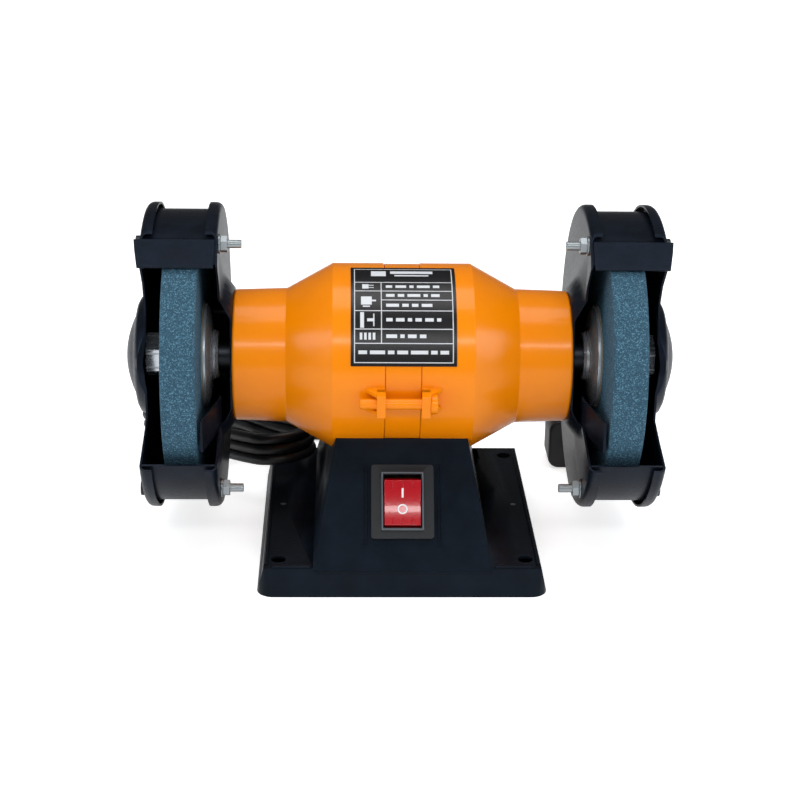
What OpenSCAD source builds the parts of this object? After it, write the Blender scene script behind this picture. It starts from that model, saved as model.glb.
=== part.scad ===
// Bench grinder with two wheels, one induction motor and a pressed steel pedestal.
// +X runs along the shaft to the right wheel, +Y to the rear, +Z up. The origin is on the
// bench, under the middle of the machine.

/* [Motor] */
// Height of the shaft axis above the bench
axis_z = 93; // [85:0.5:115]
// Outer radius of the motor's cylinder
motor_r = 44.5; // [40:0.5:50]
// Half length of the motor's cylinder
cyl_half = 33; // [30:0.5:38]
// Half width of the exposed stator band
band_half = 8.2; // [6:0.1:11]
// Half length from the middle to where the cone meets the neck
cone_half = 55; // [50:0.5:62]
// Radius of the neck where it meets the cone
neck_r = 32.3; // [29:0.1:36]
// Radius of the neck at its outer end
neck_end_r = 31.5; // [28.5:0.1:35]
// Wall of the die-cast end bells
bell_wall = 3; // [2:0.1:4]
// Half length of the laminated stack
stack_half = 16; // [13:0.5:20]
// Bore radius of the stator
stator_bore_r = 25.5; // [23:0.1:27]
// Air gap between rotor and stator
air_gap = 0.4; // [0.3:0.05:0.6]

/* [Shaft and bearings] */
// Diameter of the shaft at the wheels
wheel_bore = 12.7; // [12:0.05:13.5]
// Diameter of the bearing seats
seat_d = 12; // [11:0.1:12]
// Outside diameter of the bearings
bearing_od = 32; // [30:0.5:34]
// Width of a bearing
bearing_w = 10; // [8:0.5:11]
// Diameter of the threaded shaft ends
thread_d = 12; // [10:0.5:12]

/* [Wheels] */
// Diameter of a grinding wheel
wheel_d = 125; // [110:1:127]
// Thickness of a grinding wheel
wheel_w = 16; // [13:0.5:18]
// Distance from the middle of the machine to the middle of a wheel
wheel_x = 102.7; // [101:0.1:104]
// Diameter of the clamping flanges
flange_d = 49; // [38:1:50]
// Width across the flats of a shaft nut
nut_af = 19; // [17:0.5:19]

/* [Guards] */
// Outer radius of the drum strip
drum_r = 70; // [69.6:0.1:74]
// Outer radius of the turned rims of the covers
rim_r = 73.2; // [72.6:0.1:78]
// Gauge of the guard sheet
sheet = 1; // [0.8:0.1:1.2]
// Distance from the middle to the inner cover's flat face
guard_in_x = 85.5; // [84:0.1:87]
// Distance from the middle to the outer cover's flat face
guard_out_x = 121; // [120:0.1:123]
// Width of the turned rims
rim_w = 5.8; // [4:0.1:7]
// Height of the outer cover's pressed dome
dome_h = 10.8; // [10:0.1:13]
// Radius of the dome at the cover's face
dome_r = 29; // [25:0.5:32]
// Radius of the dome's round crown
crown_r = 19.5; // [16:0.5:21]
// Angle above the front horizontal where the drum strip ends
drum_top_angle = 66.5; // [60:0.5:70]
// Angle below the front horizontal where the drum strip ends
drum_low_angle = 27.3; // [20:0.5:35]
// Radius of the circle that the guard bolts stand on
guard_bolt_r = 65.6; // [65.2:0.1:66]

/* [Spark arresters] */
// Length of the plate down its slope
arrester_len = 12.4; // [11.5:0.1:12.8]
// How far the plate stands past the outer cover
arrester_over = 2.6; // [1:0.1:4]
// Travel of the plate along its slot
arrester_travel = 3.5; // [2:0.1:3.5]

/* [Pedestal] */
// Width of the pedestal's foot
base_w = 135.6; // [128:0.2:150]
// Depth of the pedestal's foot
base_d = 148.8; // [144:0.2:165]
// Height of the foot's skirt
skirt_h = 14; // [11:0.5:17]
// How far each side of the foot flares out to the bench
flare_x = 3.2; // [0:0.1:4]
// How far the foot's front and rear flare out to the bench
flare_y = 1.4; // [0.5:0.1:3]
// Gauge of the pedestal's sheet
base_sheet = 1.2; // [1:0.1:1.6]
// Width of the tower at the foot
tower_w = 83.2; // [78:0.2:88]
// Width of the tower at the saddle
tower_top_w = 62.6; // [54:0.2:64]
// Spacing of the mounting holes across the machine
hole_x = 115.6; // [108:0.2:118]
// Spacing of the mounting holes from front to rear
hole_y = 125.4; // [110:0.2:128]
// Diameter of the mounting holes
hole_d = 7; // [5:0.1:8]

/* [Switch] */
// Width of the switch bezel
bezel_w = 29.4; // [27:0.2:31]
// Height of the switch bezel
bezel_h = 35.8; // [34:0.2:38]
// Width of the rocker
rocker_w = 17; // [15:0.2:17.4]
// Height of the rocker
rocker_h = 23.4; // [21:0.2:24]
// Angle that the rocker swings through
rocker_swing = 20; // [14:1:22]

/* [Cord] */
// Diameter of the mains cord
cord_d = 5.6; // [5:0.1:6]

/* [Hidden] */
$fn = 96;
small_fn = 32;
cut = 1;
motion_gap = 0.35;
running_fit = 0.03;
// Threads are drawn as plain cylinders at their outer diameter.
guard_bolt_d = 4;
housing_bolt_d = 5;
plate_t = 1.2;
bolt_angles = [70.4, 180, 305.5];
wheel_in_x = wheel_x - wheel_w / 2;
wheel_out_x = wheel_x + wheel_w / 2;
flange_t = 5;
blotter_t = 0.5;
shaft_nut_h = 7;
collar_x = guard_in_x + sheet + 1.2;
guard_inside_x = guard_in_x + sheet;
guard_outside_x = guard_out_x - sheet;
neck_end_x = guard_in_x - 5.5;
bearing_out_x = neck_end_x - bell_wall - 1;
bearing_in_x = bearing_out_x - bearing_w;
washer_room = 0.4;
collar_r = 9;
lead_x = 20;
lead_y = 22;
lead_d = 2.2;
lead_hole_d = 4;
rotor_r = stator_bore_r - air_gap;
shaft_end_x = wheel_out_x + flange_t + shaft_nut_h + blotter_t + 3.5;
housing_bolt_r = motor_r + 4.8;
lug_h = 11.5;
housing_bolt_angle = -7.6;
lug_w = 4.2;
// The plate's slope: the drum's end, and the directions along it and out of it.
slope = 60;
drum_end = [-drum_r * cos(drum_top_angle), drum_r * sin(drum_top_angle)];
along = [-cos(slope), -sin(slope)];
outward = [-sin(slope), cos(slope)];
land_len = 10;
screw_d = 3;
screw_at = land_len - 2.3 - screw_d / 2;
screw_head = 1.1;
saddle_r = motor_r;
saddle_gap = 0.05;
tower_front_y = base_d / 2 - flare_y;
lip_y = saddle_r * cos(42.5);
lip_z = axis_z - saddle_r * sin(42.5);
front_tilt = atan2(lip_z - skirt_h, tower_front_y - lip_y);
switch_y = (tower_front_y + lip_y) / 2;
switch_z = (skirt_h + lip_z) / 2;
foot_r = 8;
gland_z = 24;
gland_y = tower_front_y - (gland_z - skirt_h) / tan(front_tilt);
gland_len = 26;
gland_droop = 12;
// The hank is three loops of cord on top of each other. Its folds are six diameters wide.
hank_run = 15 * cord_d;
hank_layers = 3;
hank_fold_r = 3 * cord_d + 0.2;
hank_w = 2 * hank_fold_r + cord_d;
hank_h = hank_layers * cord_d;
// One end lies on the foot's left flange, and the other on the bench behind the left guard.
hank_at = [-90.3, 85.3, 19.3];
hank_turn = 133;
hank_tilt = 8.82;
bench_z = cord_d / 2 + 0.2;
// A level bend of the cord about a centre, whose height goes from z0 to z1.
function bend(cx, cy, r, from, to, z0, z1, steps) =
    [for (i = [0:steps]) [cx + r * cos(from + (to - from) * i / steps),
                          cy + r * sin(from + (to - from) * i / steps),
                          z0 + (z1 - z0) * i / steps]];
// From the strain relief to the hank's lowest loop, at the hank's far end.
lead_to_hank = concat(
    bend(-24, 94.4, 24, 0, 90, 16.7, bench_z, 10),
    [[-45, 118.4, bench_z], [-65, 118.4, 4]],
    bend(-85, 148.4, 30, 270, 227, 5.8, 7.4, 5)
);
// From the hank's upper loop, round behind the motor, to the plug.
lead_to_plug = concat(
    bend(-71.5, 128.2, 26, 223, 90, 21.4, 4, 12),
    [[-50, 154.2, bench_z], [-20, 154.2, bench_z], [10, 154.2, bench_z], [38, 154.2, bench_z]],
    bend(63.5, 114.2, 40, 90, 0, bench_z + 0.6, 13.5, 12)
);
plug_at = [103.5, 95, 0];
plate_screw_x = 57.4;
plate_screw_d = 3;
bottom_z = 1.4;
bottom_t = 0.8;
saddle_bolt_x = 21;
saddle_bolt_d = 5;
stack_seat_r = motor_r - bell_wall + 1;
label_t = 0.3;
label_w = 49;
label_top = 87;
label_low = 13;
ball_r = 2.9;
race_mid_r = (seat_d + bearing_od) / 4;
shaft_mid_r = seat_d / 2 + 2;
screw_xs = [guard_inside_x + 3.9, guard_outside_x - 4.4];
washer_t = 1;
guard_nut_h = 3.2;
switch_box_w = 25;
switch_box_h = 30.5;
bezel_t = 2.6;
well_w = rocker_w + 2 * motion_gap;
well_h = rocker_h + 2 * motion_gap + 1.6;
pivot_r = 1.5;
pivot_z = -2.2;
cap_d = 25;
cap_len = 48;
cap_y = 18;
cap_z = 2.6 + cap_d / 2;
gland_d = 10;
plug_w = 40;
plug_h = 27;
plug_len = 34;

// ---- Helpers ----

// Turns an outline of [radius, x] points about the shaft axis.
module turned() {
    translate([0, 0, axis_z]) rotate([0, 90, 0]) rotate_extrude() children();
}

// A ring about the shaft axis, from x0 to x1.
module ring(outer, inner, x0, x1) {
    turned() translate([inner, x0]) square([outer - inner, x1 - x0]);
}

// A rod along X at a distance from the shaft axis and an angle above the front.
module rod_at(r, angle, d, x0, x1, sides = small_fn) {
    translate([x0, -r * cos(angle), axis_z + r * sin(angle)])
        rotate([0, 90, 0]) cylinder(d = d, h = x1 - x0, $fn = sides);
}

// A side outline of [y, height above the axis] points, carried from x0 to x1.
module side_slab(x0, x1) {
    translate([x0, 0, axis_z]) rotate([90, 0, 90]) linear_extrude(x1 - x0) children();
}

// Right-hand parts, and their mirror image on the left.
module both_sides() {
    children();
    mirror([1, 0, 0]) children();
}

module rounded_rect(w, d, r) {
    square([w - 2 * r, d], center = true);
    square([w, d - 2 * r], center = true);
    for (x = [-1, 1], y = [-1, 1])
        translate([x * (w / 2 - r), y * (d / 2 - r)]) circle(r);
}

function arc(cx, cy, r, from, to, steps = 4) =
    [for (i = [0:steps]) [cx + r * cos(from + (to - from) * i / steps),
                          cy + r * sin(from + (to - from) * i / steps)]];

// A point on the arrester's slope: s down the plate, n out of it.
function slope_point(s, n) = drum_end + s * along + n * outward;

// ---- Pedestal ----

module tower(inset, bore_r) {
    w = tower_w / 2 - inset;
    w_top = tower_top_w / 2 - inset;
    y = tower_front_y - inset * 1.3;
    y_top = lip_y - inset * 1.3;
    low = skirt_h - (inset > 0 ? base_sheet + cut : cut);
    slope_x = (w - w_top) / (lip_z - skirt_h);
    slope_y = (y - y_top) / (lip_z - skirt_h);
    drop = skirt_h - low;
    difference() {
        intersection() {
            translate([0, base_d, 0]) rotate([90, 0, 0]) linear_extrude(2 * base_d)
                polygon([[-w - drop * slope_x, low], [w + drop * slope_x, low], [w_top, lip_z], [-w_top, lip_z]]);
            translate([-base_w, 0, 0]) rotate([90, 0, 90]) linear_extrude(2 * base_w)
                polygon([[-y - drop * slope_y, low], [y + drop * slope_y, low], [y_top, lip_z], [-y_top, lip_z]]);
        }
        rod_at(0, 0, 2 * bore_r, -base_w, base_w, 96);
    }
}

// The foot's pressed skirt leans out towards the bench on all four sides.
module foot(inset, h) {
    w = base_w / 2 - inset;
    d = base_d / 2 - inset;
    intersection() {
        linear_extrude(h) rounded_rect(2 * w, 2 * d, foot_r - inset);
        translate([0, base_d, 0]) rotate([90, 0, 0]) linear_extrude(2 * base_d)
            polygon([[-w, 0], [w, 0], [w - flare_x, skirt_h], [flare_x - w, skirt_h]]);
        translate([-base_w, 0, 0]) rotate([90, 0, 90]) linear_extrude(2 * base_w)
            polygon([[-d, 0], [d, 0], [d - flare_y, skirt_h], [flare_y - d, skirt_h]]);
    }
}

module mounting_holes(d, z0, z1) {
    for (x = [-1, 1], y = [-1, 1])
        translate([x * hole_x / 2, y * hole_y / 2, z0]) cylinder(d = d, h = z1 - z0, $fn = small_fn);
}

module on_front(y = switch_y, z = switch_z) {
    translate([0, -y, z]) rotate([front_tilt, 0, 0]) children();
}

module base_pedestal() {
    color([0.11, 0.12, 0.13])
    difference() {
        union() {
            foot(0, skirt_h);
            tower(0, saddle_r + saddle_gap);
        }
        foot(base_sheet, skirt_h - base_sheet);
        tower(base_sheet, saddle_r + saddle_gap + base_sheet);
        mounting_holes(hole_d, 0, skirt_h + cut);
        on_front() translate([0, 0, -6])
            linear_extrude(12) square([switch_box_w + 0.6, switch_box_h + 0.6], center = true);
        on_gland() translate([0, 0, -8]) cylinder(d = gland_d, h = 24, $fn = small_fn);
        on_gland() translate([0, 0, 6.9]) cylinder(d = 13.2, h = 12, $fn = small_fn);
        for (x = [-1, 1]) translate([x * saddle_bolt_x, 0, 0])
            cylinder(d = saddle_bolt_d, h = axis_z, $fn = small_fn);
        for (x = [-1, 1]) translate([x * plate_screw_x, 0, 0])
            cylinder(d = plate_screw_d, h = skirt_h + cut, $fn = small_fn);
        for (x = [-1, 1]) translate([x * lead_x, lead_y, 20])
            cylinder(d = lead_hole_d, h = axis_z, $fn = small_fn);
    }
}

// The bottom plate hangs on two screws from the foot's flanges.
module base_bottom_plate() {
    color([0.55, 0.57, 0.6])
    difference() {
        translate([0, 0, bottom_z])
            linear_extrude(bottom_t)
                rounded_rect(base_w - 2 * base_sheet - 1.6, base_d - 2 * base_sheet - 1.2, foot_r - base_sheet);
        mounting_holes(hole_d + 8, 0, skirt_h);
        for (x = [-1, 1]) translate([x * plate_screw_x, 0, 0])
            cylinder(d = plate_screw_d + 0.4, h = skirt_h, $fn = small_fn);
    }
}

// Each screw carries a spacer tube, so the plate stays level below the flange.
module bottom_plate_screws() {
    color([0.7, 0.71, 0.72])
    for (x = [-1, 1]) translate([x * plate_screw_x, 0, 0]) {
        translate([0, 0, bottom_z + bottom_t])
            cylinder(d = 6.5, h = skirt_h - base_sheet - bottom_z - bottom_t, $fn = small_fn);
        translate([0, 0, 0.2]) cylinder(d = 5.6, h = bottom_z - 0.2, $fn = small_fn);
        translate([0, 0, 0.2]) cylinder(d = plate_screw_d, h = skirt_h - 0.2, $fn = small_fn);
    }
}

// Two bolts come up through the saddle into the bosses of the end bells.
module saddle_bolts() {
    head_z = axis_z - motor_r - base_sheet - 4.2;
    color([0.7, 0.71, 0.72])
    for (x = [-1, 1]) translate([x * saddle_bolt_x, 0, 0]) {
        translate([0, 0, head_z]) cylinder(d = 9.2, h = 4, $fn = 6);
        translate([0, 0, head_z]) cylinder(d = saddle_bolt_d, h = 4.2 + base_sheet + bell_wall + 1, $fn = small_fn);
    }
}

// ---- Motor housing ----

module bell_right() {
    bearing_seat_r = bearing_od / 2;
    inner_r = motor_r - bell_wall;
    color([0.96, 0.58, 0.02])
    difference() {
        union() {
            turned() difference() {
                polygon([[0, band_half], [motor_r, band_half], [motor_r, cyl_half],
                         [neck_r, cone_half], [neck_end_r, neck_end_x], [0, neck_end_x]]);
                polygon([[-cut, band_half - cut], [inner_r, band_half - cut], [inner_r, cyl_half - 1],
                         [neck_r - bell_wall, cone_half - 1], [neck_r - bell_wall, bearing_in_x - 2],
                         [-cut, bearing_in_x - 2]]);
            }
            for (side = [0, 180]) bell_lug(side);
            translate([saddle_bolt_x, 0, axis_z - motor_r + 0.4]) cylinder(d = 11, h = bell_wall + 2.6, $fn = small_fn);
        }
        ring(bearing_seat_r, 0, bearing_in_x - 3, bearing_out_x + washer_room);
        ring(seat_d / 2 + 1.2, 0, 0, neck_end_x + cut);
        ring(motor_r - bell_wall + 0.3, stack_seat_r, band_half - cut, band_half);
        ring(stack_seat_r, 0, band_half - cut, stack_half);
        for (side = [0, 180])
            rod_at(housing_bolt_r, side == 0 ? housing_bolt_angle : 180 - housing_bolt_angle,
                   housing_bolt_d, 0, band_half + lug_w + cut);
        translate([saddle_bolt_x, 0, axis_z - motor_r - cut])
            cylinder(d = saddle_bolt_d, h = bell_wall + 1 + cut, $fn = small_fn);
        translate([lead_x, lead_y, axis_z - motor_r - cut])
            cylinder(d = lead_hole_d, h = 12, $fn = small_fn);
    }
}

// A lug beside the stator band, with two gusset ramps that run out along the cylinder.
module bell_lug(side) {
    angle = side == 0 ? housing_bolt_angle : 180 - housing_bolt_angle;
    translate([0, 0, axis_z]) rotate([-angle, 0, 0]) {
        translate([band_half, -housing_bolt_r - 3.6, -lug_h / 2]) cube([lug_w, 9, lug_h]);
        for (z = [-lug_h / 2 - 1.6, lug_h / 2 - 0.6]) translate([0, 0, z])
            linear_extrude(2.2)
                polygon([[band_half + lug_w, -motor_r - 5], [band_half + lug_w + 9, -motor_r + 0.4],
                         [band_half + lug_w + 9, -motor_r + 2], [band_half + lug_w, -motor_r + 2]]);
    }
}

module end_bell_left() { mirror([1, 0, 0]) bell_right(); }
module end_bell_right() { bell_right(); }

// The laminated stack: its middle band is flush with the bells and shows between them.
module stator_core() {
    color([0.94, 0.56, 0.03]) {
        ring(motor_r - 0.3, stator_bore_r, -band_half, band_half);
        ring(stack_seat_r, stator_bore_r, -stack_half, stack_half);
    }
}

module stator_windings() {
    coil_out = stack_seat_r - 4;
    coil_in = stator_bore_r + 1.6;
    color([0.72, 0.38, 0.18]) both_sides()
        turned() polygon([[coil_in, stack_half], [coil_out, stack_half], [coil_out, stack_half + 8],
                          [coil_out - 2.5, stack_half + 11], [coil_in + 2.5, stack_half + 11],
                          [coil_in, stack_half + 8]]);
}

// Cheese-head bolts pass through the right lugs into the threaded left ones.
module housing_bolts() {
    color([0.95, 0.57, 0.03])
    for (side = [0, 180]) {
        angle = side == 0 ? housing_bolt_angle : 180 - housing_bolt_angle;
        rod_at(housing_bolt_r, angle, housing_bolt_d, -band_half - lug_w - 8, band_half + lug_w);
        rod_at(housing_bolt_r, angle, 9.2, band_half + lug_w, band_half + lug_w + 3.6);
    }
}

// The nameplate is a thin foil wrapped on the upper front of the motor.
module nameplate() {
    color([0.05, 0.05, 0.07])
    translate([0, 0, axis_z]) rotate([0, 90, 0])
        rotate_extrude(angle = label_top - label_low, start = 270 - label_top)
            translate([motor_r + saddle_gap, -label_w / 2]) square([label_t, label_w]);
}

// ---- Bearings, rotor and shaft ----

module bearing_outer_rings() {
    color([0.75, 0.77, 0.8]) both_sides()
    difference() {
        ring(bearing_od / 2, race_mid_r + 1.7, bearing_in_x, bearing_out_x);
        translate([0, 0, axis_z]) rotate([0, 90, 0]) rotate_extrude()
            translate([race_mid_r, (bearing_in_x + bearing_out_x) / 2]) circle(ball_r + 0.06, $fn = small_fn);
    }
}

module bearing_inner_rings() {
    color([0.75, 0.77, 0.8]) both_sides()
    difference() {
        ring(race_mid_r - 1.7, seat_d / 2, bearing_in_x, bearing_out_x);
        translate([0, 0, axis_z]) rotate([0, 90, 0]) rotate_extrude()
            translate([race_mid_r, (bearing_in_x + bearing_out_x) / 2]) circle(ball_r, $fn = small_fn);
    }
}

module bearing_balls() {
    count = 8;
    color([0.85, 0.86, 0.88])
    for (side = [-1, 1], i = [0:count - 1]) {
        a = 360 * i / count;
        translate([side * (bearing_in_x + bearing_out_x) / 2, race_mid_r * cos(a), axis_z + race_mid_r * sin(a)])
            sphere(ball_r, $fn = 24);
    }
}

// A thin spring washer takes up the end play behind the left bearing.
module wave_washer() {
    color([0.7, 0.7, 0.72])
        mirror([1, 0, 0]) ring(bearing_od / 2 - 0.4, bearing_od / 2 - 2.8, bearing_out_x, bearing_out_x + washer_room - 0.1);
}

module rotor_core() {
    color([0.45, 0.46, 0.48]) ring(rotor_r, shaft_mid_r, -stack_half, stack_half);
}

module rotor_end_rings() {
    color([0.78, 0.79, 0.8]) both_sides() ring(rotor_r - 1, shaft_mid_r, stack_half, stack_half + 6);
}

// The shaft steps down from the rotor to the bearings, the wheels and the threads. The wheel
// seats carry sleeves of the wheels' bore, between the bearing and the nut's thread.
module shaft() {
    color([0.8, 0.81, 0.83])
    turned() polygon([
        [0, -shaft_end_x], [thread_d / 2 - 1, -shaft_end_x], [thread_d / 2, -shaft_end_x + 1],
        [thread_d / 2, -wheel_out_x - blotter_t], [wheel_bore / 2, -wheel_out_x - blotter_t],
        [wheel_bore / 2, -collar_x], [collar_r, -collar_x], [collar_r, -neck_end_x - 1],
        [seat_d / 2, -neck_end_x - 1],
        [seat_d / 2, -bearing_in_x], [shaft_mid_r, -bearing_in_x],
        [shaft_mid_r, bearing_in_x], [seat_d / 2, bearing_in_x],
        [seat_d / 2, neck_end_x + 1], [collar_r, neck_end_x + 1], [collar_r, collar_x], [wheel_bore / 2, collar_x],
        [wheel_bore / 2, wheel_out_x + blotter_t], [thread_d / 2, wheel_out_x + blotter_t],
        [thread_d / 2, shaft_end_x - 1], [thread_d / 2 - 1, shaft_end_x], [0, shaft_end_x]
    ]);
}

// The inner flange: a pressed dish that bears on the wheel near its rim.
module inner_flanges() {
    r = flange_d / 2;
    x1 = wheel_in_x - blotter_t;
    x0 = collar_x;
    color([0.82, 0.83, 0.84]) both_sides()
    turned() polygon([
        [wheel_bore / 2, x0], [wheel_bore / 2 + 5, x0], [wheel_bore / 2 + 6, x1 - 3.4],
        [r - 5, x1 - 3], [r, x1 - 1.4], [r, x1], [r - 4, x1], [r - 6, x1 - 1], [wheel_bore / 2, x1 - 1]
    ]);
}

module outer_flanges() {
    r = flange_d / 2;
    x0 = wheel_out_x + blotter_t;
    color([0.82, 0.83, 0.84]) both_sides()
    turned() polygon([
        [thread_d / 2, x0 + 1], [r - 6, x0 + 1], [r - 4, x0], [r, x0], [r, x0 + 1.4],
        [r - 5, x0 + 3], [thread_d / 2 + 6, x0 + 3.4], [thread_d / 2 + 4, x0 + flange_t - 1], [thread_d / 2, x0 + flange_t - 1]
    ]);
}

module wheel_blotters() {
    r = flange_d / 2 + 1;
    color([0.9, 0.88, 0.8]) both_sides() {
        ring(r, wheel_bore / 2 + 4, wheel_in_x - blotter_t, wheel_in_x);
        ring(r, wheel_bore / 2 + 4, wheel_out_x, wheel_out_x + blotter_t);
    }
}

module wheel_right() {
    r = wheel_d / 2;
    color([0.42, 0.5, 0.56])
    turned() polygon([
        [wheel_bore / 2, wheel_in_x], [r - 0.8, wheel_in_x], [r, wheel_in_x + 0.8],
        [r, wheel_out_x - 0.8], [r - 0.8, wheel_out_x], [wheel_bore / 2, wheel_out_x]
    ]);
}

module grinding_wheel_left() { mirror([1, 0, 0]) wheel_right(); }
module grinding_wheel_right() { wheel_right(); }

module nut_right() {
    x0 = wheel_out_x + blotter_t + flange_t - 1;
    color([0.78, 0.79, 0.8])
    difference() {
        translate([x0, 0, axis_z]) rotate([0, 90, 0])
            cylinder(r = nut_af / sqrt(3), h = shaft_nut_h, $fn = 6);
        ring(thread_d / 2, 0, x0 - cut, x0 + shaft_nut_h + cut);
    }
}

// The left nut has a left-hand thread and the right nut a right-hand thread.
module shaft_nut_left() { mirror([1, 0, 0]) nut_right(); }
module shaft_nut_right() { nut_right(); }

// ---- Wheel guards ----

// Everything in front of the covers' cut front edges. The edge is set back at mid height and
// comes forward at the arrester above and at the drum's lower end.
module front_cut() {
    low = [-drum_r * cos(drum_low_angle), -drum_r * sin(drum_low_angle)];
    side_slab(0, 2 * guard_out_x)
        polygon([
            [-160, 150], slope_point(-45, 0), slope_point(land_len + 1.5, 0),
            [-24, 43], [-20.5, 34], [-22, 24], [-26, 11], [-28, 0], [-28, -23],
            [-43, -27.5], low, low * 2, [-160, low[1] * 2]
        ]);
}

module bolt_holes(d) {
    for (a = bolt_angles) rod_at(guard_bolt_r, a, d, guard_in_x - 8, guard_out_x + 8);
}

// The inner cover's flat face has a pressed cone that reaches in to the motor's neck.
module cover_in_right() {
    corner = 3;
    hub_r = neck_end_r - 1;
    x = guard_in_x;
    color([0.1, 0.11, 0.13])
    difference() {
        turned() polygon(concat(
            [[hub_r - 12, neck_end_x], [hub_r + 2, neck_end_x], [hub_r + 9, x]],
            arc(rim_r - corner, x + corner, corner, -90, 0),
            [[rim_r, x + rim_w], [rim_r - sheet, x + rim_w]],
            arc(rim_r - corner, x + corner, corner - sheet, 0, -90),
            [[hub_r + 9.6, x + sheet], [hub_r + 2.6, neck_end_x + sheet], [hub_r - 12, neck_end_x + sheet]]
        ));
        front_cut();
        bolt_holes(guard_bolt_d);
    }
    rest_tab();
}

// A short tab, bent out from the cut edge towards the wheel, that a tool rest's bracket fits.
module rest_tab() {
    color([0.1, 0.11, 0.13])
    translate([0, 0, axis_z - 27]) linear_extrude(15)
        polygon([
            [guard_in_x, -24], [guard_in_x, -29], [wheel_in_x - 2.6, -58], [wheel_in_x - 1.4, -58],
            [guard_in_x + sheet, -28.6], [guard_in_x + sheet, -24]
        ]);
}

// The crown's curve as [radius, x] points, from radius a to b, with its top at x.
function dome_curve(a, b, x) =
    [for (i = [0:6]) let (r = a + (b - a) * i / 6) [r, x - r * r / 80]];

module cover_out_right() {
    corner = 3;
    x = guard_out_x;
    x2 = x + dome_h;
    color([0.1, 0.11, 0.13])
    difference() {
        turned() polygon(concat(
            dome_curve(0, crown_r, x2),
            [[dome_r - 4, x2 - 6], [dome_r - 1.4, x2 - 7.4], [dome_r, x + 1], [dome_r + 0.8, x]],
            arc(rim_r - corner, x - corner, corner, 90, 0),
            [[rim_r, x - rim_w], [rim_r - sheet, x - rim_w]],
            arc(rim_r - corner, x - corner, corner - sheet, 0, 90),
            [[dome_r, x - sheet], [dome_r - 1.2, x], [dome_r - 2.8, x2 - 8.2], [dome_r - 4.6, x2 - 7]],
            dome_curve(crown_r, 0, x2 - sheet)
        ));
        front_cut();
        bolt_holes(guard_bolt_d);
    }
}

// The drum strip joins the two covers. Its top end is bent down as a flat land with slots
// that the arrester's screws slide in.
module drum_right() {
    span = 360 - drum_top_angle - drum_low_angle;
    color([0.1, 0.11, 0.13])
    difference() {
        union() {
            translate([0, 0, axis_z]) rotate([0, 90, 0])
                rotate_extrude(angle = span, start = drum_low_angle - 90)
                    translate([drum_r - sheet, guard_inside_x])
                        square([sheet, guard_outside_x - guard_inside_x]);
            side_slab(guard_inside_x, guard_outside_x)
                polygon([slope_point(-0.4, 0), slope_point(land_len, 0),
                         slope_point(land_len, -sheet), slope_point(0.6, -sheet)]);
        }
        for (x = screw_xs) {
            for (s = [0, arrester_travel]) slope_bore(x, screw_at - s, screw_d + 2 * motion_gap, -3, 3);
            slope_slot(x);
        }
    }
}

// A cylinder that stands on the slope, from n0 to n1 out of it.
module slope_bore(x, s, d, n0, n1) {
    p = slope_point(s, n0);
    translate([x, p[0], axis_z + p[1]]) rotate([slope, 0, 0])
        cylinder(d = d, h = n1 - n0, $fn = small_fn);
}

// The straight middle of a slot, between its two round ends.
module slope_slot(x) {
    w = screw_d + 2 * motion_gap;
    p = slope_point(screw_at, -3);
    translate([x - w / 2, p[0], axis_z + p[1]]) rotate([slope, 0, 0])
        cube([w, arrester_travel, 6]);
}

module inner_cover_left() { mirror([1, 0, 0]) cover_in_right(); }
module inner_cover_right() { cover_in_right(); }
module guard_drum_left() { mirror([1, 0, 0]) drum_right(); }
module guard_drum_right() { drum_right(); }
module outer_cover_left() { mirror([1, 0, 0]) cover_out_right(); }
module outer_cover_right() { cover_out_right(); }

// Bolts run from a head outside the outer cover to a nut on the inner cover.
module guard_bolts() {
    color([0.75, 0.76, 0.78]) both_sides()
    for (a = bolt_angles) {
        rod_at(guard_bolt_r, a, guard_bolt_d, guard_in_x - washer_t - guard_nut_h - 6.4, guard_out_x);
        rod_at(guard_bolt_r, a, 7.4, guard_out_x, guard_out_x + 2.2);
    }
}

module guard_nuts() {
    x1 = guard_in_x - washer_t;
    color([0.78, 0.79, 0.8]) both_sides()
    for (a = bolt_angles) difference() {
        rod_at(guard_bolt_r, a, 8.1, x1 - guard_nut_h, x1, 6);
        rod_at(guard_bolt_r, a, guard_bolt_d, x1 - guard_nut_h - cut, x1 + cut);
    }
}

module guard_washers() {
    color([0.74, 0.75, 0.77]) both_sides()
    for (a = bolt_angles) difference() {
        rod_at(guard_bolt_r, a, 9, guard_in_x - washer_t, guard_in_x);
        rod_at(guard_bolt_r, a, guard_bolt_d, guard_in_x - washer_t - cut, guard_in_x + cut);
    }
}

// The arrester lies in front of the land, and its sides lean in towards the bottom.
module arrester_right() {
    n0 = motion_gap;
    x0 = guard_in_x + 1.2;
    x1 = guard_out_x + arrester_over;
    p = slope_point(0, n0);
    color([0.09, 0.1, 0.11])
    difference() {
        translate([0, p[0], axis_z + p[1]]) rotate([slope, 0, 0])
            linear_extrude(plate_t)
                polygon([[x0, 1], [x1, 1], [x1 - 0.4, -4], [x1 - 1.6, -arrester_len], [x0 + 0.6, -arrester_len]]);
        for (x = screw_xs) slope_bore(x, screw_at, screw_d, -1, motion_gap + plate_t - 0.4);
    }
}

module spark_arrester_left() { mirror([1, 0, 0]) arrester_right(); }
module spark_arrester_right() { arrester_right(); }

// The screws come from inside and ride in the land's slots with the plate.
module arrester_screws_one() {
    color([0.7, 0.71, 0.73])
    for (x = screw_xs) {
        slope_bore(x, screw_at, screw_d, -sheet - motion_gap - screw_head, motion_gap + plate_t - 0.4);
        slope_bore(x, screw_at, 5, -sheet - motion_gap - screw_head, -sheet - motion_gap);
    }
}

module arrester_screws_left() { mirror([1, 0, 0]) arrester_screws_one(); }
module arrester_screws_right() { arrester_screws_one(); }

// ---- Switch ----

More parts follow.
